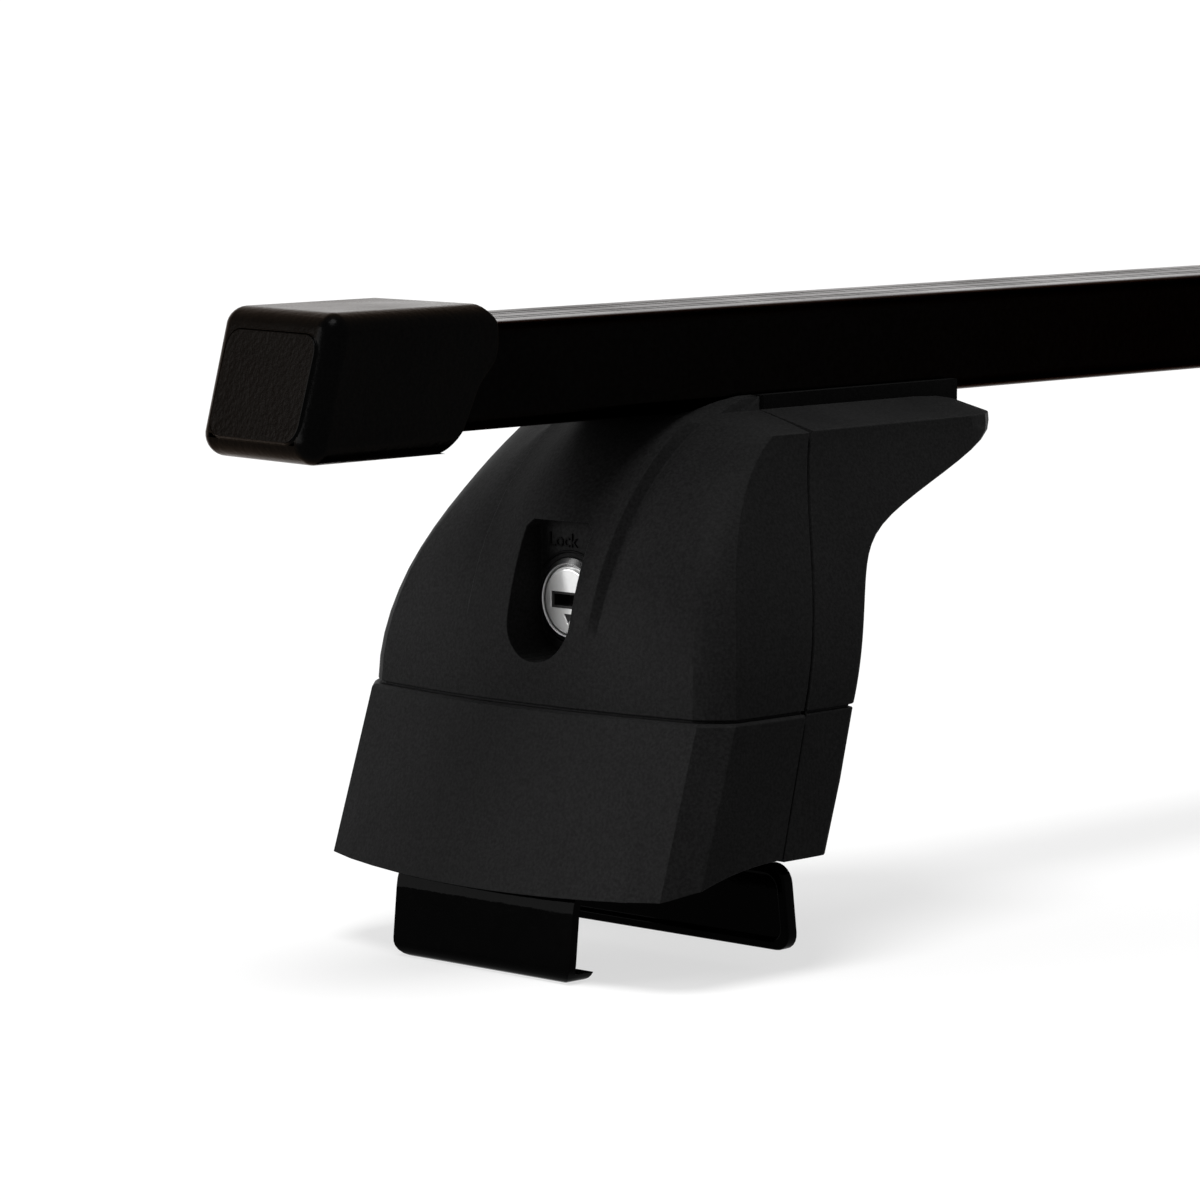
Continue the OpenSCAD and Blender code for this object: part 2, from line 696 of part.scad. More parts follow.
// Pressed frame: an upright web with side cheeks, bent over into a plate under the arm
module leg_frame() {
    mid = web_face + frame_steel / 2;
    plate_z = frame_top - frame_steel / 2;
    plate_end = arm_reach - 21.5;
    plate_half = 15;
    window = cam_half + 2;
    color("gray") difference() {
        union() {
            intersection() {
                across_bar(web_half) polygon(ribbon(round_line([
                    [mid, leg_z + 2, 0], [mid, -26, 9], [mid + 17.5, plate_z, 9], [plate_end, plate_z, 0]]),
                    frame_steel));
                along_bar(0, through) polygon(round_loop([
                    [-web_half, leg_z, 3], [web_half, leg_z, 3], [web_half, -46, 8], [plate_half, -18, 8],
                    [plate_half, 0, 0], [-plate_half, 0, 0], [-plate_half, -18, 8], [-web_half, -46, 8]]));
            }
            for (side = [-1, 1]) translate([0, side * (web_half - frame_steel / 2), 0])
                across_bar(frame_steel / 2) polygon(round_loop([[cheek_from, leg_z + 6, 4],
                    [web_face + 1, leg_z + 4, 0], [web_face + 1, 12 - clamp_drop, 0],
                    [cheek_from, 6 - clamp_drop, 4]]));
        }
        at_lock() translate([web_face - 1, -cam_width / 2 - 0.9, -window])
            cube([frame_steel + 2, cam_width + 1.8, 2 * window]);
        translate([0, 0, -clamp_drop]) rod_x(web_face - 1, web_face + 5, nut_r + slip_clear);
        for (side = [-1, 1]) {
            translate([0, side * rivet_y, rivet_z]) rod_x(web_face - 1, web_face + 5, rivet_r + slip_clear);
            translate([0, side * screw_y, screw_z]) rod_x(web_face - 1, web_face + 5, screw_r + slip_clear);
        }
        for (x = bar_bolts_x) translate([x, 0, -30]) cylinder(h = 30, r = bar_bolt_r + bolt_clear);
    }
}

module body_screws() {
    color("silver") for (side = [-1, 1]) translate([0, side * screw_y, screw_z]) {
        rod_x(web_face - 2.2, web_face, screw_r + 1.4);
        rod_x(web_face - eps, boss_end - 0.5, screw_r);
    }
}

module lock_sleeve() {
    color("gainsboro") at_lock() {
        rotate([0, 90, 0]) rotate_extrude() polygon([
            [plug_d / 2 + slip_clear, recess_floor - 0.4], [lock_r - 0.8, recess_floor - 1],
            [lock_r, recess_floor - 0.3], [lock_r, lock_back], [plug_d / 2 + slip_clear, lock_back]]);
    }
}

// Turning plug with a bevelled face, a keyway and a tail through the frame's window
module lock_plug() {
    face = recess_floor - 1.1;
    tail_end = cam_face + cam_thickness + 0.8;
    color("silver") at_lock() difference() {
        rotate([0, 90, 0]) rotate_extrude() polygon([
            [0, face], [plug_d / 2 - 1.2, face], [plug_d / 2, face + 0.8], [plug_d / 2, lock_back + 0.6],
            [tail_r, lock_back + 0.6], [tail_r, tail_end], [0, tail_end]]);
        translate([face - 1, -4.2, -1.2]) cube([6, 8.4, 2.4]);
    }
}

cam_face = web_face + frame_steel + 0.6;

module lock_cam() {
    color("gray") at_lock() difference() {
        along_bar(cam_face, cam_face + cam_thickness)
            polygon(round_loop([[-cam_width / 2, -cam_half, 2], [cam_width / 2, -cam_half, 2],
                [cam_width / 2, cam_half, 2], [-cam_width / 2, cam_half, 2]]));
        rod_x(cam_face - 1, cam_face + 5, tail_r + slip_clear / 2);
    }
}

clamp_seat = hook_face - washer_thickness;
clamp_head = 4;
clamp_tip = web_face + frame_steel - 2;

module clamp_bolt() {
    color("silver") translate([0, 0, -clamp_drop]) difference() {
        union() {
            rod_x(clamp_seat - clamp_head, clamp_seat, clamp_r + 2.5);
            rod_x(clamp_seat - eps, clamp_tip, clamp_r);
        }
        translate([clamp_seat - clamp_head - 1, 0, 0]) rotate([0, 90, 0])
            cylinder(h = 3.5, r = 2.9, $fn = 6);
    }
}

module clamp_washer() {
    color("silver") translate([0, 0, -clamp_drop]) difference() {
        rod_x(clamp_seat, hook_face, clamp_r + 4.5);
        rod_x(clamp_seat - 1, hook_face + 1, clamp_r + slip_clear);
    }
}

// Insert nut: its flange bears on the inboard face of the web
module clamp_nut() {
    color("gray") translate([0, 0, -clamp_drop]) difference() {
        union() {
            rod_x(web_face - 7, web_face + frame_steel + eps, nut_r);
            rod_x(web_face + frame_steel, web_face + frame_steel + nut_flange, nut_r + 2.5);
        }
        rod_x(web_face - 8, web_face + 8, clamp_r + slip_clear);
    }
}

// Bent hook plate: lip, leaning lower part and upright top where the clamp bolt passes
module outer_hook() {
    low = -hook_drop + jaw_steel / 2;
    lip_from = 4.8;
    mid = hook_face + jaw_steel / 2;
    bend = -clamp_drop - 12;
    top = 9 - clamp_drop;
    color("#0c0c0c") difference() {
        intersection() {
            across_bar(hook_half) polygon(ribbon(round_line([
                [lip_from + hook_lip, low, 0], [lip_from, low, 2], [lip_from + 1.7, skirt_z, 12],
                [mid, bend, 8], [mid, top, 0]]), jaw_steel));
            along_bar(0, 60) polygon(round_loop([[-hook_half, -hook_drop, 4], [hook_half, -hook_drop, 4],
                [hook_half, top, 4], [-hook_half, top, 4]]));
        }
        translate([0, 0, -clamp_drop]) rod_x(hook_face - 5, hook_face + 5, clamp_r + bolt_clear);
    }
}

// Inner jaw: a splayed plate with a raised rim, carried by a tongue on the frame's web
module inner_jaw() {
    tongue_half = 20;
    tongue_top = rivet_z + 7;
    plate_top = leg_z - 1.7;
    plate_height = jaw_drop + plate_top;
    splay = 2.4;
    rim = 2.2;
    face_x = jaw_line_x - jaw_steel / 2;
    corner_r = min(4, plate_height / 2 - 0.2);
    inner_r = min(3, plate_height / 2 - rim - 0.2);
    outline = [[-jaw_half, -jaw_drop, corner_r], [jaw_half, -jaw_drop, corner_r],
        [jaw_half, plate_top, corner_r], [tongue_half, plate_top, 2], [tongue_half, tongue_top, 4],
        [-tongue_half, tongue_top, 4], [-tongue_half, plate_top, 2], [-jaw_half, plate_top, corner_r]];
    color("#0c0c0c") difference() {
        intersection() {
            across_bar(jaw_half) polygon(ribbon([[jaw_line_x, tongue_top + 1], [jaw_line_x, plate_top],
                [jaw_line_x + splay, -jaw_drop]], jaw_steel));
            along_bar(web_face - 8, web_face + 8) polygon(round_loop(outline));
        }
        for (side = [-1, 1]) translate([0, side * rivet_y, rivet_z])
            rod_x(web_face - 6, web_face + 1, rivet_r + slip_clear);
        translate([0, 0, -clamp_drop]) rod_x(web_face - 8, web_face + 1, nut_r + run_clear);
    }
    color("#0c0c0c") difference() {
        intersection() {
            across_bar(jaw_half) polygon([[face_x - jaw_rim, plate_top], [face_x + 0.2, plate_top],
                [face_x + splay + 0.2, -jaw_drop], [face_x + splay - jaw_rim, -jaw_drop]]);
            along_bar(web_face - 8, web_face + 8) polygon(round_loop([[-jaw_half, -jaw_drop, corner_r],
                [jaw_half, -jaw_drop, corner_r], [jaw_half, plate_top, corner_r],
                [-jaw_half, plate_top, corner_r]]));
        }
        translate([jaw_line_x, 0, plate_top]) rotate([0, -atan(splay / plate_height), 0])
            along_bar(-10, 1) polygon(round_loop([[-jaw_half + rim, -plate_height + rim, inner_r],
                [jaw_half - rim, -plate_height + rim, inner_r], [jaw_half - rim, -rim, inner_r],
                [-jaw_half + rim, -rim, inner_r]]));
    }
}

module jaw_rivets() {
    head = 1.4;
    color("gray") for (side = [-1, 1]) translate([0, side * rivet_y, rivet_z]) {
        rod_x(jaw_line_x - jaw_steel / 2 - head, jaw_line_x - jaw_steel / 2, rivet_r + 1.5);
        rod_x(jaw_line_x - jaw_steel / 2 - eps, web_face + frame_steel + eps, rivet_r);
        rod_x(web_face + frame_steel, web_face + frame_steel + head, rivet_r + 1.5);
    }
}

crossbar_tube();
crossbar_sheath();
left_end_cap();
right_end_cap();
at_end(-1, foot_station) leg_body();  // left_leg_body
at_end(-1, foot_station) leg_frame();  // left_leg_frame
at_end(-1, foot_station) body_screws();  // left_body_screws
at_end(-1, foot_station) bar_pad();  // left_bar_pad
at_end(-1, foot_station) nut_plate();  // left_nut_plate
at_end(-1, foot_station) bar_bolts();  // left_bar_bolts
at_end(-1, foot_station) bar_washers();  // left_bar_washers
at_end(-1, foot_station) cover();  // left_cover
at_end(-1, foot_station) lock_sleeve();  // left_lock_sleeve
at_end(-1, foot_station) lock_plug();  // left_lock_plug
at_end(-1, foot_station) lock_cam();  // left_lock_cam
at_end(-1, foot_station) clamp_bolt();  // left_clamp_bolt
at_end(-1, foot_station) clamp_washer();  // left_clamp_washer
at_end(-1, foot_station) clamp_nut();  // left_clamp_nut
at_end(-1, foot_station) outer_hook();  // left_outer_hook
at_end(-1, foot_station) inner_jaw();  // left_inner_jaw
at_end(-1, foot_station) jaw_rivets();  // left_jaw_rivets
at_end(1, foot_station) leg_body();  // right_leg_body
at_end(1, foot_station) leg_frame();  // right_leg_frame
at_end(1, foot_station) body_screws();  // right_body_screws
at_end(1, foot_station) bar_pad();  // right_bar_pad
at_end(1, foot_station) nut_plate();  // right_nut_plate
at_end(1, foot_station) bar_bolts();  // right_bar_bolts
at_end(1, foot_station) bar_washers();  // right_bar_washers
at_end(1, foot_station) cover();  // right_cover
at_end(1, foot_station) lock_sleeve();  // right_lock_sleeve
at_end(1, foot_station) lock_plug();  // right_lock_plug
at_end(1, foot_station) lock_cam();  // right_lock_cam
at_end(1, foot_station) clamp_bolt();  // right_clamp_bolt
at_end(1, foot_station) clamp_washer();  // right_clamp_washer
at_end(1, foot_station) clamp_nut();  // right_clamp_nut
at_end(1, foot_station) outer_hook();  // right_outer_hook
at_end(1, foot_station) inner_jaw();  // right_inner_jaw
at_end(1, foot_station) jaw_rivets();  // right_jaw_rivets
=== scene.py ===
import bpy
import math
from mathutils import Matrix, Vector


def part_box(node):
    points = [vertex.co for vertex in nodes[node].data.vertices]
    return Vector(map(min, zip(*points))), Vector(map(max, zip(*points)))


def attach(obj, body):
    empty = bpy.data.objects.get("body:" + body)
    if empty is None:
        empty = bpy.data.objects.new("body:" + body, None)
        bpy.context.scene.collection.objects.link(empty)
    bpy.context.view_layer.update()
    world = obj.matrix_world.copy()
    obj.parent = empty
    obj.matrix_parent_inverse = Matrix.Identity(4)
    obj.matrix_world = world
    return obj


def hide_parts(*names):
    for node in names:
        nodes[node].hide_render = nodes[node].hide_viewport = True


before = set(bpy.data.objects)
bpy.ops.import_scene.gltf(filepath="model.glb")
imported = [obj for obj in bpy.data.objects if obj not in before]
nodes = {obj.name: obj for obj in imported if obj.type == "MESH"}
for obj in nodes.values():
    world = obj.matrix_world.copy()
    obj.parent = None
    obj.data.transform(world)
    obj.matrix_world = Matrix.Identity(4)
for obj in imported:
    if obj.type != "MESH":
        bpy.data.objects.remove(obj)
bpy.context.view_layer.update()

MM = 0.001
# Points nearer than this are one point: before edges are softened, after it, and in letters
SHORT_EDGE = 0.1 * MM
SAME_POINT = 0.001 * MM
SAME_LETTER_POINT = 0.000002
# The left foot is measured from a point on the bar's underside, which lies here
FOOT_X = -0.552
FOOT_Z = 0.1148
LOCK_Y = -0.004
LOCK_Z = FOOT_Z - 0.0385
RECESS_FLOOR = FOOT_X + 0.0275
HALF_TURN = Matrix.Rotation(math.pi, 4, "Z")

# Where the photo was taken from, with angles in degrees
CAMERA_PLACE = (-1.34974, -0.80092, 0.20908)
CAMERA_TILT = 83.4
CAMERA_TURN = -46.3
CAMERA_LENS = 165
# Each lamp: strength, how wide it is in degrees, and the direction it shines from
OUTBOARD_LIGHT = (3.0, 45, (-0.8, 0.58, 0.15))
OVERHEAD_LIGHT = (2.3, 25, (-0.25, -0.12, 0.96))
# Light of the room from below and from above
ROOM_LIGHT = (0.0, 0.36)
FLOOR_GREY = 0.36
# Added to the floor's brightness where it is seen, so that it shows white
FLOOR_LIFT = 0.66
FLOOR_SIZE = 120

# Lines along the cover's hump, in mm: where each begins and ends, and its push out of the face
HUMP_LINES = ((17.4, 17.8, 0.8), (19.2, 19.6, -0.55))
# Heights below the bar where they fade out, in mm, and the length of each fade
HUMP_FOOT, HUMP_TOP = -54, -1
FOOT_FADE, TOP_FADE = 24, 5


# Camera and stage

def add_camera():
    bpy.ops.object.camera_add(location=CAMERA_PLACE,
                              rotation=(math.radians(CAMERA_TILT), 0, math.radians(CAMERA_TURN)))
    camera = bpy.context.object
    camera.name = "Photo_camera"
    camera.data.sensor_width = 36
    camera.data.lens = CAMERA_LENS
    camera.data.clip_start = 0.02
    camera.data.clip_end = 200
    bpy.context.scene.camera = camera
    bpy.context.scene.view_settings.view_transform = "Standard"


def add_sun(name, strength, angle, toward):
    turn = Vector(toward).to_track_quat("Z", "Y").to_euler()
    bpy.ops.object.light_add(type="SUN", rotation=turn)
    sun = bpy.context.object
    sun.name = name
    sun.data.energy = strength
    sun.data.angle = math.radians(angle)


def any_seen_ray(tree):
    """One where the camera, a reflection or a clear part looks, and zero for plain lighting."""
    path = tree.nodes.new("ShaderNodeLightPath")
    seen = tree.nodes.new("ShaderNodeMath")
    seen.operation = "MAXIMUM"
    through = tree.nodes.new("ShaderNodeMath")
    through.operation = "MAXIMUM"
    tree.links.new(path.outputs["Is Camera Ray"], seen.inputs[0])
    tree.links.new(path.outputs["Is Glossy Ray"], seen.inputs[1])
    tree.links.new(seen.outputs[0], through.inputs[0])
    tree.links.new(path.outputs["Is Transmission Ray"], through.inputs[1])
    return through.outputs[0]


def paint_world(low_light, high_light):
    """White wherever it is seen, and a plain light that is stronger from above."""
    world = bpy.data.worlds.new("Pale_studio")
    bpy.context.scene.world = world
    world.use_nodes = True
    tree = world.node_tree
    tree.nodes.clear()
    out = tree.nodes.new("ShaderNodeOutputWorld")
    shown = tree.nodes.new("ShaderNodeBackground")
    shown.inputs["Color"].default_value = (1, 1, 1, 1)
    light = tree.nodes.new("ShaderNodeBackground")
    light.inputs["Color"].default_value = (1, 1, 1, 1)
    place = tree.nodes.new("ShaderNodeTexCoord")
    split = tree.nodes.new("ShaderNodeSeparateXYZ")
    rise = tree.nodes.new("ShaderNodeMapRange")
    rise.inputs["From Min"].default_value = -0.1
    rise.inputs["To Min"].default_value = low_light
    rise.inputs["To Max"].default_value = high_light
    mix = tree.nodes.new("ShaderNodeMixShader")
    tree.links.new(place.outputs["Generated"], split.inputs[0])
    tree.links.new(split.outputs["Z"], rise.inputs["Value"])
    tree.links.new(rise.outputs[0], light.inputs["Strength"])
    tree.links.new(any_seen_ray(tree), mix.inputs[0])
    tree.links.new(light.outputs[0], mix.inputs[1])
    tree.links.new(shown.outputs[0], mix.inputs[2])
    tree.links.new(mix.outputs[0], out.inputs[0])


def paint_floor():
    material = bpy.data.materials.new("Pale_floor")
    material.use_nodes = True
    tree = material.node_tree
    body = tree.nodes["Principled BSDF"]
    body.inputs["Base Color"].default_value = (FLOOR_GREY, FLOOR_GREY, FLOOR_GREY, 1)
    body.inputs["Roughness"].default_value = 0.9
    body.inputs["Specular IOR Level"].default_value = 0.0
    glow = tree.nodes.new("ShaderNodeEmission")
    lift = tree.nodes.new("ShaderNodeMath")
    lift.operation = "MULTIPLY"
    lift.inputs[1].default_value = FLOOR_LIFT
    add = tree.nodes.new("ShaderNodeAddShader")
    tree.links.new(any_seen_ray(tree), lift.inputs[0])
    tree.links.new(lift.outputs[0], glow.inputs["Strength"])
    tree.links.new(body.outputs[0], add.inputs[0])
    tree.links.new(glow.outputs[0], add.inputs[1])
    tree.links.new(add.outputs[0], tree.nodes["Material Output"].inputs["Surface"])
    return material


def add_floor():
    bpy.ops.mesh.primitive_plane_add(size=FLOOR_SIZE, location=(0, 0, 0))
    floor = bpy.context.object
    floor.name = "Studio_floor"
    floor.data.materials.append(paint_floor())


# Finishes

def group_socket(group, name, way, kind="NodeSocketFloat", value=None):
    socket = group.interface.new_socket(name=name, in_out=way, socket_type=kind)
    if value is not None:
        socket.default_value = value


def node_of(tree, kind, **values):
    """A shader node with its inputs set by name, where an underscore stands for a space."""
    made = tree.nodes.new(kind)
    for name, value in values.items():
        made.inputs[name.replace("_", " ")].default_value = value
    return made


def maths(tree, operation, first, second, third=None):
    made = tree.nodes.new("ShaderNodeMath")
    made.operation = operation
    for socket, value in zip(made.inputs, (first, second, third)):
        if value is None:
            continue
        if isinstance(value, (int, float)):
            socket.default_value = value
        else:
            tree.links.new(value, socket)
    return made.outputs[0]


def spread_out(tree, value, low, high, to_low, to_high):
    made = node_of(tree, "ShaderNodeMapRange", From_Min=low, From_Max=high, To_Min=to_low, To_Max=to_high)
    tree.links.new(value, made.inputs["Value"])
    return made.outputs[0]


def make_grain_group():
    """Moulded, drawn or painted skin: fine bumps, pebbles, draw lines and a slow unevenness."""
    group = bpy.data.node_groups.new("Moulded_grain", "ShaderNodeTree")
    group_socket(group, "Color", "INPUT", "NodeSocketColor", (0.02, 0.02, 0.02, 1))
    group_socket(group, "Roughness", "INPUT", value=0.5)
    group_socket(group, "Grain Scale", "INPUT", value=1500)
    group_socket(group, "Depth", "INPUT", value=0.4)
    group_socket(group, "Pebbles", "INPUT", value=0)
    group_socket(group, "Pebble Scale", "INPUT", value=900)
    group_socket(group, "Draw Lines", "INPUT", value=0)
    group_socket(group, "Unevenness", "INPUT", value=0.15)
    group_socket(group, "Speckle", "INPUT", value=0.2)
    group_socket(group, "Color", "OUTPUT", "NodeSocketColor")
    group_socket(group, "Roughness", "OUTPUT")
    group_socket(group, "Normal", "OUTPUT", "NodeSocketVector")
    given, made = group.nodes.new("NodeGroupInput"), group.nodes.new("NodeGroupOutput")
    link = group.links.new
    place = group.nodes.new("ShaderNodeTexCoord").outputs["Object"]
    fine = node_of(group, "ShaderNodeTexNoise", Detail=3, Roughness=0.6)
    link(place, fine.inputs["Vector"])
    link(given.outputs["Grain Scale"], fine.inputs["Scale"])
    slow = node_of(group, "ShaderNodeTexNoise", Scale=38, Detail=4)
    link(place, slow.inputs["Vector"])
    pebble = group.nodes.new("ShaderNodeTexVoronoi")
    pebble.feature = "SMOOTH_F1"
    pebble.inputs["Smoothness"].default_value = 0.6
    link(place, pebble.inputs["Vector"])
    link(given.outputs["Pebble Scale"], pebble.inputs["Scale"])
    along = node_of(group, "ShaderNodeMapping", Scale=(0.012, 1, 1))
    link(place, along.inputs["Vector"])
    lines = node_of(group, "ShaderNodeTexNoise", Scale=1500, Detail=2)
    link(along.outputs[0], lines.inputs["Vector"])
    pebbled = maths(group, "MULTIPLY", pebble.outputs["Distance"], given.outputs["Pebbles"])
    drawn = maths(group, "MULTIPLY", lines.outputs["Fac"], given.outputs["Draw Lines"])
    height = maths(group, "ADD", maths(group, "SUBTRACT", fine.outputs["Fac"], pebbled), drawn)
    bump = node_of(group, "ShaderNodeBump", Distance=0.00012)
    link(height, bump.inputs["Height"])
    link(given.outputs["Depth"], bump.inputs["Strength"])
    link(bump.outputs["Normal"], made.inputs["Normal"])
    sway = maths(group, "MULTIPLY", spread_out(group, slow.outputs["Fac"], 0.3, 0.7, -1, 1),
                 given.outputs["Unevenness"])
    link(maths(group, "MULTIPLY_ADD", sway, 0.5, given.outputs["Roughness"]), made.inputs["Roughness"])
    fleck = spread_out(group, fine.outputs["Fac"], 0.35, 0.65, -1, 1)
    flecks = maths(group, "MULTIPLY_ADD", fleck, given.outputs["Speckle"], 1)
    level = maths(group, "MULTIPLY", maths(group, "ADD", sway, 1), flecks)
    tint = group.nodes.new("ShaderNodeVectorMath")
    tint.operation = "SCALE"
    link(given.outputs["Color"], tint.inputs[0])
    link(level, tint.inputs["Scale"])
    link(tint.outputs["Vector"], made.inputs["Color"])
    return group


def new_finish(name, grain, colour, specular, metallic=0, edge=None, **skin_values):
    material = bpy.data.materials.new(name)
    material.use_nodes = True
    tree = material.node_tree
    body = tree.nodes["Principled BSDF"]
    skin = tree.nodes.new("ShaderNodeGroup")
    skin.node_tree = grain
    skin.inputs["Color"].default_value = (*colour, 1)
    for key, value in skin_values.items():
        skin.inputs[key.replace("_", " ")].default_value = value
    tree.links.new(skin.outputs["Color"], body.inputs["Base Color"])
    tree.links.new(skin.outputs["Roughness"], body.inputs["Roughness"])
    tree.links.new(skin.outputs["Normal"], body.inputs["Normal"])
    body.inputs["Specular IOR Level"].default_value = specular
    body.inputs["Metallic"].default_value = metallic
    if edge:
        body.inputs["Specular Tint"].default_value = (*edge, 1)
    return material


def make_finishes():
    """Cap and bar coating are near black, and the tint of their edges gives the bright tops."""
    grain = make_grain_group()
    return {
        "cover": new_finish("Foot_plastic", grain, (0.0112, 0.0112, 0.0113), 0.009, Roughness=0.42,
                            Grain_Scale=1500, Depth=0.5, Unevenness=0.1, Speckle=0.25),
        "cap": new_finish("Cap_plastic", grain, (0.0016, 0.0016, 0.0016), 0.5, 1, (0.6, 0.57, 0.55),
                          Roughness=0.22, Grain_Scale=1800, Depth=0.35, Pebbles=0.9, Pebble_Scale=850,
                          Unevenness=0.12, Speckle=0.15),
        "sheath": new_finish("Bar_coating", grain, (0.0009, 0.0009, 0.0009), 0.5, 1, (0.48, 0.455, 0.445),
                             Roughness=0.18, Grain_Scale=900, Depth=0.3, Draw_Lines=1.6, Unevenness=0.12),
        "jaw": new_finish("Gloss_jaw_paint", grain, (0.0006, 0.0006, 0.0006), 0.009, Roughness=0.08,
                          Grain_Scale=300, Depth=0.3, Unevenness=0.08),
        "frame": new_finish("Frame_coat", grain, (0.02, 0.02, 0.021), 0.3, Roughness=0.42,
                            Grain_Scale=500, Depth=0.4, Unevenness=0.2),
        "pad": new_finish("Pad_rubber", grain, (0.0035, 0.0035, 0.0035), 0.02, Roughness=0.75,
                          Grain_Scale=1100, Depth=0.6, Unevenness=0.2),
        "letter": new_finish("Letter_black", grain, (0.002, 0.002, 0.002), 0.03, Roughness=0.5,
                             Grain_Scale=1500, Depth=0.2, Unevenness=0.1),
        "zinc": new_finish("Zinc_plate", grain, (0.56, 0.56, 0.53), 0.5, 1, Roughness=0.32,
                           Grain_Scale=900, Depth=0.3, Unevenness=0.18),
        "tube": new_finish("Galvanised_tube", grain, (0.32, 0.32, 0.33), 0.5, 1, Roughness=0.45,
                           Grain_Scale=400, Depth=0.4, Draw_Lines=0.8, Unevenness=0.3),
        "chrome": new_finish("Lock_chrome", grain, (0.9, 0.9, 0.895), 0.5, 0.45, Roughness=0.16,
                             Grain_Scale=1200, Depth=0.06, Unevenness=0.04, Speckle=0.02),
        "ring": new_finish("Lock_ring_metal", grain, (0.3, 0.3, 0.3), 0.5, 1, Roughness=0.28,
                           Grain_Scale=1500, Depth=0.12, Unevenness=0.1, Speckle=0.05),
        # Near-black painted shade for the inside of the keyway, in place of the shadow in the slot
        "keyway": new_finish("Keyway_shade", grain, (0.006, 0.006, 0.006), 0.2, Roughness=0.4,
                             Grain_Scale=1500, Depth=0.1, Unevenness=0.1),
        "steel": new_finish("Lock_steel", grain, (0.5, 0.5, 0.49), 0.5, 1, Roughness=0.35,
                            Grain_Scale=1500, Depth=0.25, Unevenness=0.15),
    }


def paint_nodes(finishes):
    part_finish = {
        "crossbar_tube": "tube", "crossbar_sheath": "sheath", "end_cap": "cap", "leg_body": "cover",
        "leg_frame": "frame", "bar_pad": "pad", "cover": "cover", "lock_sleeve": "chrome",
        "lock_plug": "chrome", "lock_cam": "steel", "outer_hook": "jaw", "inner_jaw": "jaw",
    }
    for name, piece in nodes.items():
        part = name.replace("left_", "").replace("right_", "")
        piece.data.materials.clear()
        piece.data.materials.append(finishes[part_finish.get(part, "zinc")])


# Modelling helpers

def take_up(piece):
    bpy.ops.object.select_all(action="DESELECT")
    piece.select_set(True)
    bpy.context.view_layer.objects.active = piece


def edit(on):
    bpy.ops.object.mode_set(mode="EDIT" if on else "OBJECT")


def apply_modifier(piece, name, kind, **settings):
    made = piece.modifiers.new(name, kind)
    for key, value in settings.items():
        setattr(made, key, value)
    take_up(piece)
    bpy.ops.object.modifier_apply(modifier=name)


def soften(piece, width, segments=2, sharp=38, smooth=32, clamp=True):
    """Rounds the edges sharper than one angle, and shades those flatter than the other as one surface."""
    if width:
        apply_modifier(piece, "Soft_edges", "BEVEL", width=width, segments=segments, limit_method="ANGLE",
                       angle_limit=math.radians(sharp), use_clamp_overlap=clamp, harden_normals=False)
        take_up(piece)
        edit(True)
        bpy.ops.mesh.select_all(action="SELECT")
        bpy.ops.mesh.remove_doubles(threshold=SAME_POINT)
        bpy.ops.mesh.dissolve_degenerate(threshold=SAME_POINT)
        edit(False)
    take_up(piece)
    bpy.ops.object.shade_smooth_by_angle(angle=math.radians(smooth))
    apply_modifier(piece, "Even_shading", "WEIGHTED_NORMAL", keep_sharp=True, weight=50)


def pick_faces(piece, wanted):
    """Leaves the piece in edit mode with just the wanted faces selected."""
    take_up(piece)
    edit(True)
    bpy.ops.mesh.select_mode(type="FACE")
    bpy.ops.mesh.select_all(action="DESELECT")
    edit(False)
    for face in piece.data.polygons:
        face.select = bool(wanted(face))
    edit(True)


def cut_out(piece, cutter):
    apply_modifier(piece, "Cut", "BOOLEAN", operation="DIFFERENCE", object=cutter, solver="EXACT")
    bpy.data.objects.remove(cutter)


def copy_of_node(node, name):
    piece = bpy.data.objects.new(name, nodes[node].data.copy())
    bpy.context.collection.objects.link(piece)
    take_up(piece)
    edit(True)
    bpy.ops.mesh.select_all(action="SELECT")
    bpy.ops.mesh.remove_doubles(threshold=SHORT_EDGE)
    bpy.ops.mesh.dissolve_limited(angle_limit=math.radians(0.3))
    edit(False)
    return piece


def place_piece(piece, side, part, body, replaced=True):
    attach(piece, side + body if body != "crossbar" else body)
    if replaced:
        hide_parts(side + part)


def finish_both_sides(left, part, body, material, replaced=True):
    """The left piece is made, and its copy turned by half a turn is the right one."""
    if material:
        left.data.materials.clear()
        left.data.materials.append(material)
    right = bpy.data.objects.new(left.name.replace("Left", "Right"), left.data.copy())
    bpy.context.collection.objects.link(right)
    right.data.transform(HALF_TURN)
    place_piece(left, "left_", part, body, replaced)
    place_piece(right, "right_", part, body, replaced)


def raise_hump_edge(cover):
    """Lifts a lip along both edges of the hump and sinks the line beside it, fading out above the seam."""
    take_up(cover)
    out_of_face = [point.normal.copy() for point in cover.data.vertices]
    for inner, outer, push in HUMP_LINES:
        for point, out in zip(cover.data.vertices, out_of_face):
            across, up = abs(point.co.y) / MM, (point.co.z - FOOT_Z) / MM
            if inner < across < outer and HUMP_FOOT < up < HUMP_TOP and out.x < -0.3:
                point.co += out * push * MM * min(1, (up - HUMP_FOOT) / FOOT_FADE, (1 - up) / TOP_FADE)


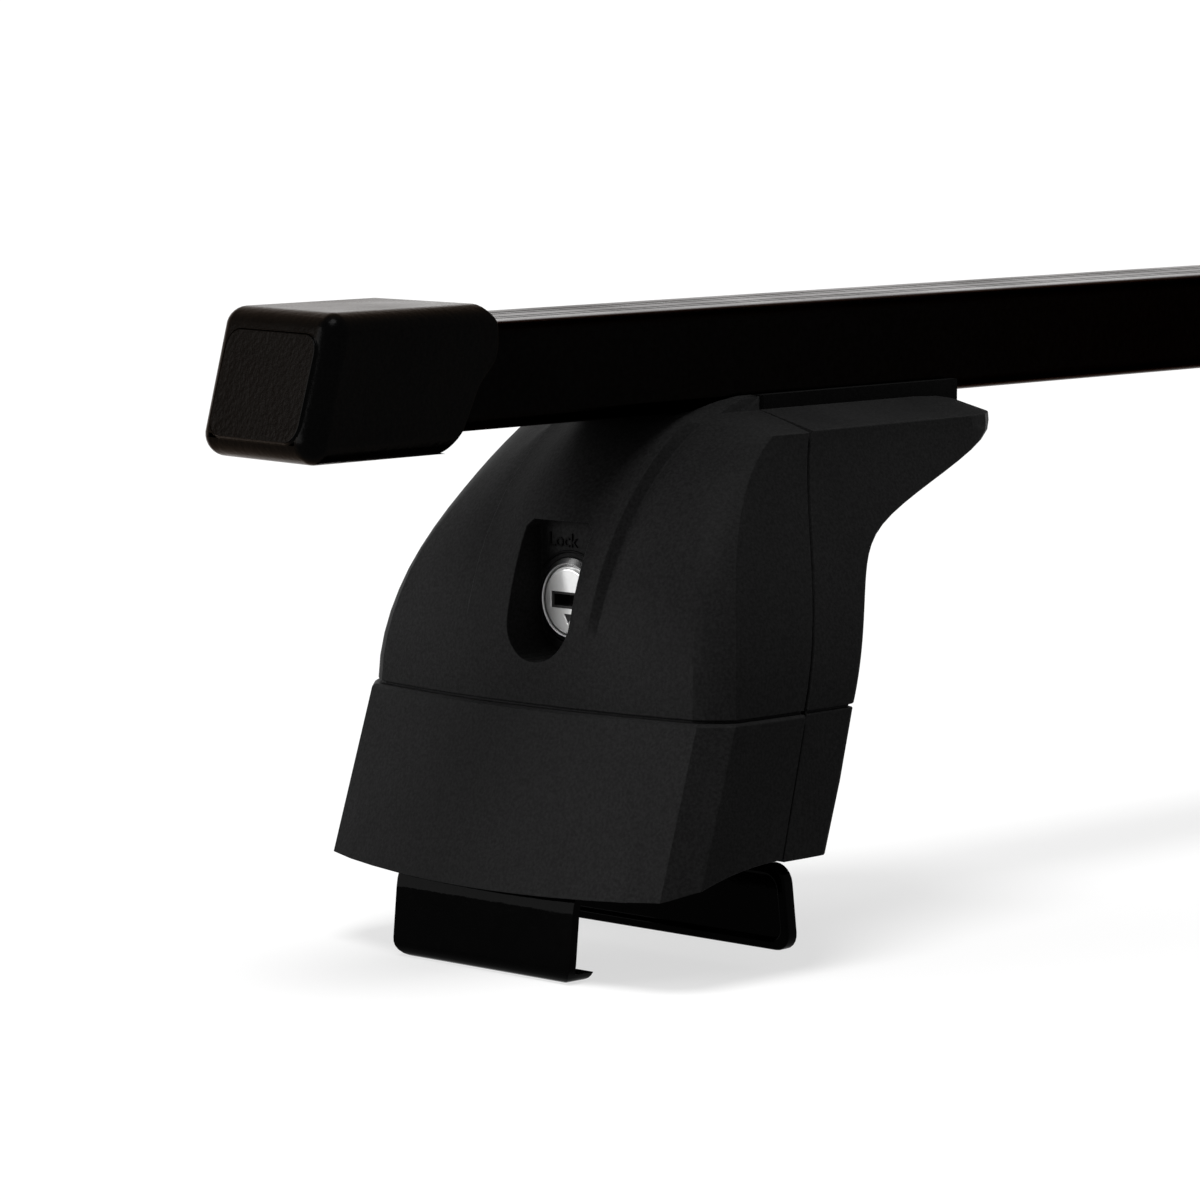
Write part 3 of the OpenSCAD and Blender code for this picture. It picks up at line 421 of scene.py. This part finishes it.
def smooth_parts(finishes):
    """Moulded and pressed parts: softened by a width in mm, and shaded as one surface up to an angle."""
    for part, name, body, slot, finish, width, smooth in (
            ("cover", "Left_foot_cover", "cover_part", "cover_plastic", "cover", 0.2, 9),
            ("leg_body", "Left_leg_body", "foot", "body_plastic", "cover", 0.3, 9),
            ("end_cap", "Left_end_cap", "crossbar", "cap_plastic", "cap", 0.4, 25),
            ("outer_hook", "Left_outer_hook", "hook", "jaw_paint", "jaw", 0.7, 32),
            ("inner_jaw", "Left_inner_jaw", "foot", "jaw_paint", "jaw", 0.5, 32)):
        piece = copy_of_node("left_" + part, name)
        if part == "cover":
            raise_hump_edge(piece)
        soften(piece, width * MM, 3, 38, smooth, part == "outer_hook")
        finish_both_sides(piece, part, body, finishes[finish])
    coating = copy_of_node("crossbar_sheath", "Crossbar_coating")
    soften(coating, 0)
    coating.data.materials.clear()
    coating.data.materials.append(finishes["sheath"])
    place_piece(coating, "crossbar", "_sheath", "crossbar")


# Lock, drawn as seen from outboard: X to the right, Y up, Z out of the recess's floor

LOCK_VIEW = Matrix.Translation((RECESS_FLOOR, LOCK_Y, LOCK_Z)) @ Matrix(
    ((0, 0, -1, 0), (-1, 0, 0, 0), (0, 1, 0, 0), (0, 0, 0, 1)))
RING_RADIUS = 9 * MM
RING_DEPTH = 16.5 * MM
PLUG_RADIUS = 7.2 * MM
PLUG_DEPTH = 17.1 * MM
TAIL_RADIUS = 3.0 * MM
# Half width, half height and floor of each slot in the plug's face, in mm: the shallow rim and the keyway
KEYWAY_CUTS = ((4.9, 1.75, 0.85), (4.2, 1.2, -3.9))
# How far the keyway's faces that are painted near black as shade reach from the lock's axis, and the height
# of their upper end
KEYWAY_SHADE_REACH = 5 * MM
KEYWAY_SHADE_TOP = 0.95 * MM
ARC_RADIUS = 10.3 * MM
# Where the arc under the plug ends, in degrees above its middle
ARC_END = 38
WORD_PLACE = (-2.3 * MM, 11.2 * MM, 0.1 * MM)


def round_bar(name, radius, back, front, vertices=96):
    bpy.ops.mesh.primitive_cylinder_add(vertices=vertices, radius=radius, depth=front - back,
                                        location=(0, 0, (front + back) / 2))
    bpy.ops.object.transform_apply(location=True, rotation=True, scale=True)
    piece = bpy.context.object
    piece.name = name
    return piece


def front_face(face):
    return face.normal.z > 0.9


def back_face(face):
    return face.normal.z < -0.9


def step_in(thickness, rise):
    bpy.ops.mesh.inset(thickness=thickness, depth=rise)


def block(low, high):
    """A cutting block between two corners."""
    low, high = Vector(low), Vector(high)
    bpy.ops.mesh.primitive_cube_add(size=1, location=(low + high) / 2)
    cutter = bpy.context.object
    cutter.scale = high - low
    bpy.ops.object.transform_apply(location=True, rotation=True, scale=True)
    return cutter


def make_lock_sleeve(finishes):
    """Chromed ring with a broad outer slope, a narrow crest and the bore that the plug turns in."""
    sleeve = round_bar("Left_lock_ring", RING_RADIUS, -RING_DEPTH, 0.1 * MM)
    pick_faces(sleeve, front_face)
    step_in(1.2 * MM, 0.9 * MM)
    step_in(0.25 * MM, 0)
    step_in(0.2 * MM, -0.4 * MM)
    bpy.ops.mesh.extrude_region_move(TRANSFORM_OT_translate={"value": (0, 0, -9 * MM)})
    edit(False)
    sleeve.data.transform(LOCK_VIEW)
    soften(sleeve, 0.12 * MM)
    finish_both_sides(sleeve, "lock_sleeve", "cover_part", finishes["ring"])


def make_lock_plug(finishes):
    """Plug with a bevelled face, a keyway in a shallow rim, a pointer and the tail that carries the cam."""
    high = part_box("left_lock_plug")[1]
    plug = round_bar("Left_lock_plug_face", PLUG_RADIUS, -PLUG_DEPTH, 0.5 * MM)
    pick_faces(plug, front_face)
    step_in(0.7 * MM, 0.6 * MM)
    edit(False)
    pick_faces(plug, back_face)
    step_in(PLUG_RADIUS - TAIL_RADIUS, 0)
    bpy.ops.mesh.extrude_region_move(
        TRANSFORM_OT_translate={"value": (0, 0, RECESS_FLOOR - high.x + PLUG_DEPTH)})
    edit(False)
    soften(plug, 0)
    for half_width, half_height, bottom in KEYWAY_CUTS:
        cut_out(plug, block((-half_width * MM, -half_height * MM, bottom * MM),
                            (half_width * MM, half_height * MM, 2 * MM)))
    bpy.ops.mesh.primitive_cylinder_add(vertices=3, radius=1.5 * MM, depth=2 * MM,
                                        location=(0, -3.6 * MM, 1.8 * MM), rotation=(0, 0, math.pi))
    bpy.ops.object.transform_apply(location=True, rotation=True, scale=True)
    cut_out(plug, bpy.context.object)
    plug.data.materials.clear()
    plug.data.materials.append(finishes["chrome"])
    plug.data.materials.append(finishes["keyway"])
    # Faces inside the keyway take the near-black finish, which is painted shade for the slot's depth
    for face in plug.data.polygons:
        if face.center.xy.length < KEYWAY_SHADE_REACH and -KEYWAY_SHADE_REACH < face.center.z < KEYWAY_SHADE_TOP:
            face.material_index = 1
    plug.data.transform(LOCK_VIEW)
    soften(plug, 0.08 * MM)
    finish_both_sides(plug, "lock_plug", "lock", None)


def make_lock_words(finishes):
    """The plain word over the lock, and the arc under it, both raised from the recess's floor."""
    bpy.ops.object.text_add()
    word = bpy.context.object
    word.name = "Left_lock_word"
    word.data.body = "Lock"
    word.data.size = 4.3 * MM
    word.data.extrude = 0.25 * MM
    word.data.resolution_u = 4
    word.data.align_x = "CENTER"
    bpy.ops.object.convert(target="MESH")
    take_up(word)
    edit(True)
    bpy.ops.mesh.select_all(action="SELECT")
    bpy.ops.mesh.remove_doubles(threshold=SAME_LETTER_POINT)
    edit(False)
    word.data.transform(LOCK_VIEW @ Matrix.Translation(WORD_PLACE))
    soften(word, 0)
    finish_both_sides(word, "cover", "cover_part", finishes["letter"], replaced=False)
    bpy.ops.mesh.primitive_torus_add(major_radius=ARC_RADIUS, minor_radius=0.32 * MM,
                                     major_segments=96, minor_segments=12)
    arc = bpy.context.object
    arc.name = "Left_lock_arc"
    pick_faces(arc, lambda face: face.center.y < ARC_RADIUS * math.sin(math.radians(ARC_END)))
    bpy.ops.mesh.delete(type="FACE")
    bpy.ops.mesh.select_all(action="SELECT")
    bpy.ops.mesh.fill_holes(sides=0)
    edit(False)
    arc.data.transform(LOCK_VIEW)
    soften(arc, 0)
    finish_both_sides(arc, "cover", "cover_part", finishes["letter"], replaced=False)


add_camera()
paint_world(*ROOM_LIGHT)
add_floor()
add_sun("Outboard_light", *OUTBOARD_LIGHT)
add_sun("Overhead_light", *OVERHEAD_LIGHT)
finishes = make_finishes()
paint_nodes(finishes)
smooth_parts(finishes)
make_lock_sleeve(finishes)
make_lock_plug(finishes)
make_lock_words(finishes)
